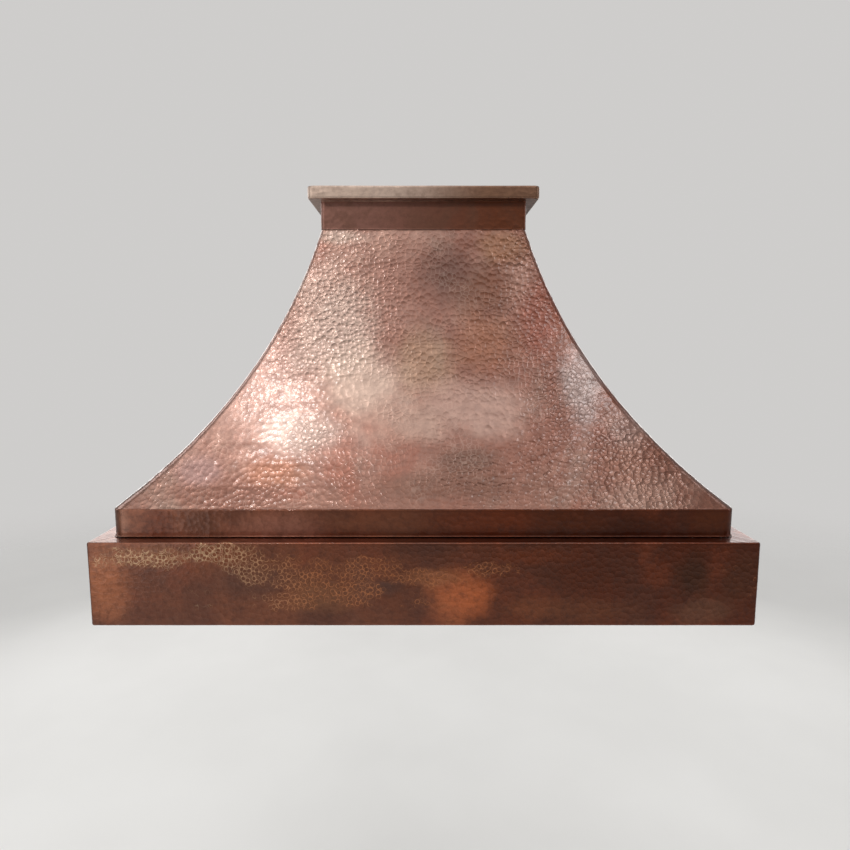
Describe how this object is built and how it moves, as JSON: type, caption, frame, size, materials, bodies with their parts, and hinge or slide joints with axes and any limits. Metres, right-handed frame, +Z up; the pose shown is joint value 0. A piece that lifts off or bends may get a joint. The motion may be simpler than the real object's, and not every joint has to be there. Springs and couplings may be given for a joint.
{
  "type": "island range hood",
  "caption": "Hammered copper island range hood: flared bell on a banded apron, hung from a steel frame, with baffle filters, lamps, blower and damper inside.",
  "frame": {"origin": "centre of the canopy's bottom edge, in the plane of that edge", "axes": "+Z up, +X to the right seen from the front, the front with the buttons faces -Y"},
  "size_m": [1.067, 0.686, 0.724],
  "materials": {
    "copper": "hand-hammered copper sheet with a dark brown and red patina, clear lacquered",
    "frame_steel": "dark grey powder coat",
    "stainless": "brushed stainless steel",
    "galvanised": "galvanised sheet with a spangle",
    "black_steel": "black satin enamel",
    "frosted_glass": "frosted glass lens",
    "button_metal": "turned stainless buttons",
    "board_green": "green solder mask",
    "motor_paint": "dark grey enamel",
    "capacitor_case": "off-white plastic",
    "seal_rubber": "black closed-cell seal",
    "conduit_metal": "spiral-wound metal conduit"
  },
  "bodies": {
    "hood": {"crown_cap": "copper", "neck_collar": "copper", "bell_front_panel": "copper", "bell_right_panel": "copper", "bell_rear_panel": "copper", "bell_left_panel": "copper", "fascia_band": "copper", "apron_band": "copper", "ceiling_plate": "frame_steel", "hanger_post_front_left": "frame_steel", "hanger_post_front_right": "frame_steel", "hanger_post_rear_left": "frame_steel", "hanger_post_rear_right": "frame_steel", "cross_bar_left": "frame_steel", "cross_bar_right": "frame_steel", "lower_frame": "frame_steel", "motor_bracket": "frame_steel", "damper_pin": "frame_steel", "junction_box": "frame_steel", "junction_box_cover": "frame_steel", "liner_pan": "stainless", "control_box": "stainless", "lamp_front_left": "stainless", "lamp_front_right": "stainless", "lamp_rear_left": "stainless", "lamp_rear_right": "stainless", "plenum_hopper": "galvanised", "blower_box": "galvanised", "blower_housing": "galvanised", "inlet_ring_left": "galvanised", "inlet_ring_right": "galvanised", "damper_collar": "galvanised", "duct_pipe": "galvanised", "control_panel": "black_steel", "lamp_lens_front_left": "frosted_glass", "lamp_lens_front_right": "frosted_glass", "lamp_lens_rear_left": "frosted_glass", "lamp_lens_rear_right": "frosted_glass", "control_board": "board_green", "motor": "motor_paint", "run_capacitor": "capacitor_case", "damper_seal": "seal_rubber", "power_conduit": "conduit_metal"},
    "blower_rotor": {"blower_wheel": "galvanised", "motor_shaft": "frame_steel"},
    "damper_left": {"damper_flap_left": "galvanised"},
    "damper_right": {"damper_flap_right": "galvanised"},
    "baffle_filter_left": {"filter_left": "stainless"},
    "handle_left": {"filter_handle_left": "stainless"},
    "latch_left": {"filter_latch_left": "black_steel"},
    "baffle_filter_centre": {"filter_centre": "stainless"},
    "handle_centre": {"filter_handle_centre": "stainless"},
    "latch_centre": {"filter_latch_centre": "black_steel"},
    "baffle_filter_right": {"filter_right": "stainless"},
    "handle_right": {"filter_handle_right": "stainless"},
    "latch_right": {"filter_latch_right": "black_steel"},
    "push_button_1": {"button_1": "button_metal"},
    "push_button_2": {"button_2": "button_metal"},
    "push_button_3": {"button_3": "button_metal"},
    "push_button_4": {"button_4": "button_metal"}
  },
  "joints": [
    {"name": "blower_spin", "type": "hinge", "parent": "hood", "child": "blower_rotor", "pos_m": [0, -0.05, 0.295], "axis": [1, 0, 0], "continuous": true},
    {"name": "damper_left_swing", "type": "hinge", "parent": "hood", "child": "damper_left", "pos_m": [0, 0, 0.505], "axis": [0, 1, 0], "range_deg": [0, 80]},
    {"name": "damper_right_swing", "type": "hinge", "parent": "hood", "child": "damper_right", "pos_m": [0, 0, 0.505], "axis": [0, -1, 0], "range_deg": [0, 80]},
    {"name": "filter_left_tilt", "type": "hinge", "parent": "hood", "child": "baffle_filter_left", "pos_m": [-0.282, 0.1785, 0.062], "axis": [1, 0, 0], "range_deg": [0, 45]},
    {"name": "handle_left_swing", "type": "hinge", "parent": "baffle_filter_left", "child": "handle_left", "pos_m": [-0.282, -0.1495, 0.052], "axis": [1, 0, 0], "range_deg": [-40, 85]},
    {"name": "latch_left_slide", "type": "slide", "parent": "baffle_filter_left", "child": "latch_left", "axis": [0, 1, 0], "range_m": [0, 0.006], "stiffness_N_per_m": 400, "springref_m": -0.003},
    {"name": "filter_centre_tilt", "type": "hinge", "parent": "hood", "child": "baffle_filter_centre", "pos_m": [0, 0.1785, 0.062], "axis": [1, 0, 0], "range_deg": [0, 45]},
    {"name": "handle_centre_swing", "type": "hinge", "parent": "baffle_filter_centre", "child": "handle_centre", "pos_m": [0, -0.1495, 0.052], "axis": [1, 0, 0], "range_deg": [-40, 85]},
    {"name": "latch_centre_slide", "type": "slide", "parent": "baffle_filter_centre", "child": "latch_centre", "axis": [0, 1, 0], "range_m": [0, 0.006], "stiffness_N_per_m": 400, "springref_m": -0.003},
    {"name": "filter_right_tilt", "type": "hinge", "parent": "hood", "child": "baffle_filter_right", "pos_m": [0.282, 0.1785, 0.062], "axis": [1, 0, 0], "range_deg": [0, 45]},
    {"name": "handle_right_swing", "type": "hinge", "parent": "baffle_filter_right", "child": "handle_right", "pos_m": [0.282, -0.1495, 0.052], "axis": [1, 0, 0], "range_deg": [-40, 85]},
    {"name": "latch_right_slide", "type": "slide", "parent": "baffle_filter_right", "child": "latch_right", "axis": [0, 1, 0], "range_m": [0, 0.006], "stiffness_N_per_m": 400, "springref_m": -0.003},
    {"name": "button_1_press", "type": "slide", "parent": "hood", "child": "push_button_1", "axis": [0, 0, 1], "range_m": [0, 0.0025], "stiffness_N_per_m": 300, "springref_m": -0.002},
    {"name": "button_2_press", "type": "slide", "parent": "hood", "child": "push_button_2", "axis": [0, 0, 1], "range_m": [0, 0.0025], "stiffness_N_per_m": 300, "springref_m": -0.002},
    {"name": "button_3_press", "type": "slide", "parent": "hood", "child": "push_button_3", "axis": [0, 0, 1], "range_m": [0, 0.0025], "stiffness_N_per_m": 300, "springref_m": -0.002},
    {"name": "button_4_press", "type": "slide", "parent": "hood", "child": "push_button_4", "axis": [0, 0, 1], "range_m": [0, 0.0025], "stiffness_N_per_m": 300, "springref_m": -0.002}
  ]
}
